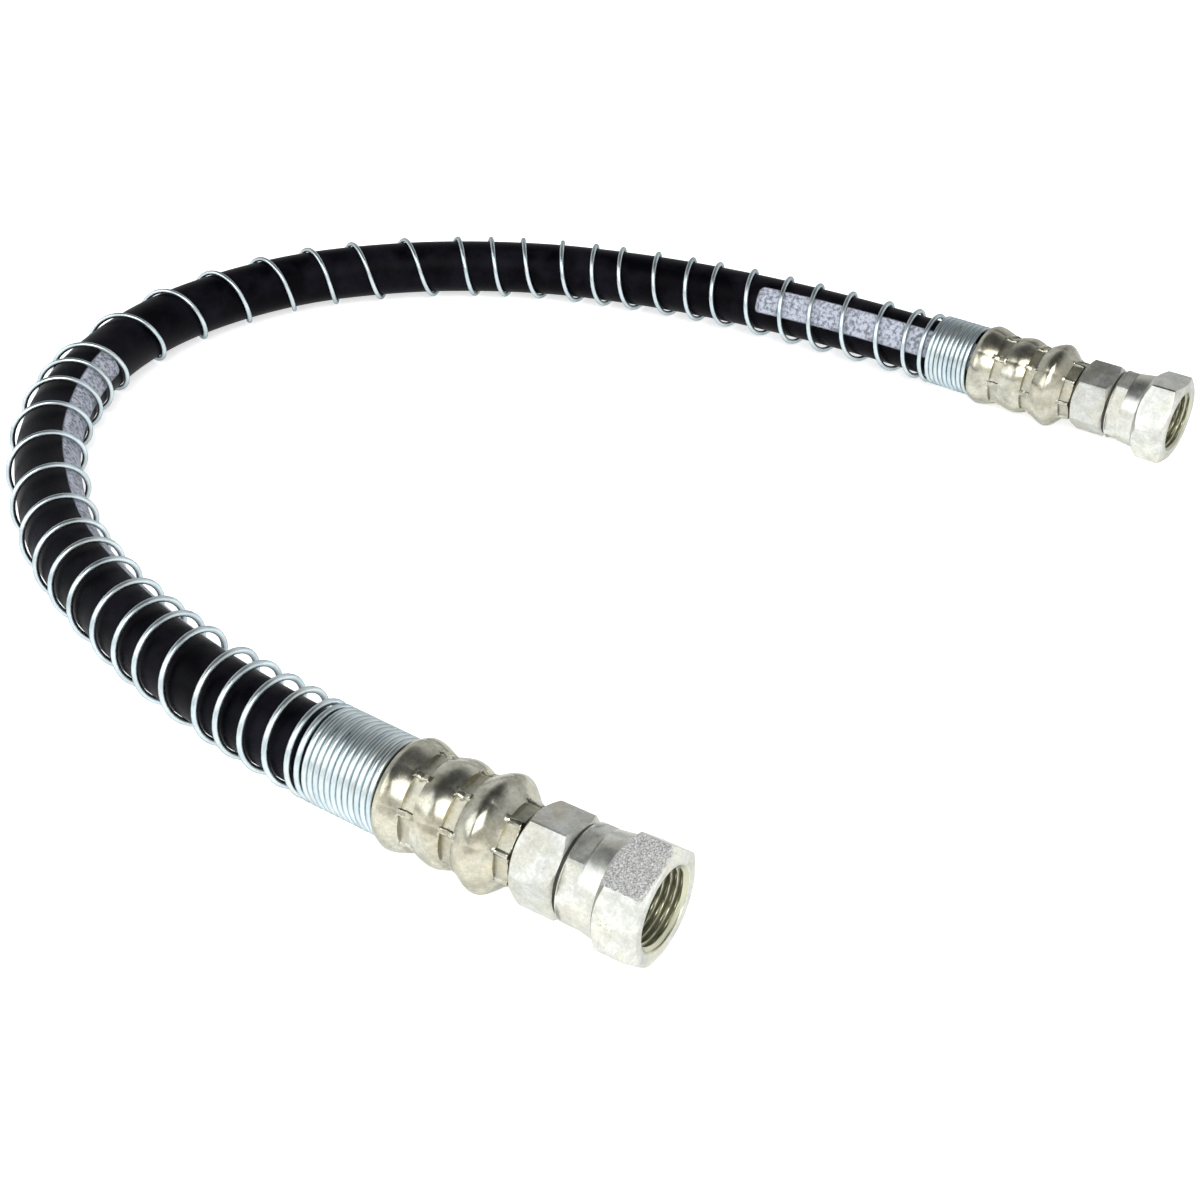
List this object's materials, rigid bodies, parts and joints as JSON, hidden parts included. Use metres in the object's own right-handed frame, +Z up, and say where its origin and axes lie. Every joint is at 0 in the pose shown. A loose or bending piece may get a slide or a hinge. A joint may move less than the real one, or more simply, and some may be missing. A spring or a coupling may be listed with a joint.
{
  "type": "hydraulic hose assembly",
  "caption": "Rubber hydraulic hose in a coil spring guard, laid in a C, with a crimped ferrule, stem and free-turning swivel nut at each end.",
  "frame": {"origin": "on the surface that the hose lies on, midway between the two end fittings (centre of the fittings' footprint)", "axes": "+Z up from the surface; +X along end A's fitting, pointing out of its nut's mouth; the hose loops out towards -X and end B lies on the +Y side"},
  "size_m": [0.3001, 0.2668, 0.0242],
  "materials": {
    "tube_rubber": "matte",
    "braid_steel": "satin",
    "cover_rubber": "satin",
    "spring_zinc": "satin",
    "stem_zinc": "satin",
    "ferrule_zinc": "satin",
    "nut_zinc": "satin"
  },
  "bodies": {
    "hose_line": {"hose_inner_tube": "tube_rubber", "hose_wire_braid": "braid_steel", "hose_cover": "cover_rubber", "spring_guard": "spring_zinc", "end_a_stem": "stem_zinc", "end_a_ferrule": "ferrule_zinc", "end_b_stem": "stem_zinc", "end_b_ferrule": "ferrule_zinc"},
    "end_a_nut": {"end_a_swivel_nut": "nut_zinc"},
    "end_b_nut": {"end_b_swivel_nut": "nut_zinc"}
  },
  "joints": [
    {"name": "end_a_nut_spin", "type": "hinge", "parent": "hose_line", "child": "end_a_nut", "pos_m": [-0.00095, -0.119, 0.0119], "axis": [1, 0, 0], "continuous": true},
    {"name": "end_b_nut_spin", "type": "hinge", "parent": "hose_line", "child": "end_b_nut", "pos_m": [0.02719, 0.11587, 0.0119], "axis": [0.9938, -0.1115, 0], "continuous": true}
  ]
}
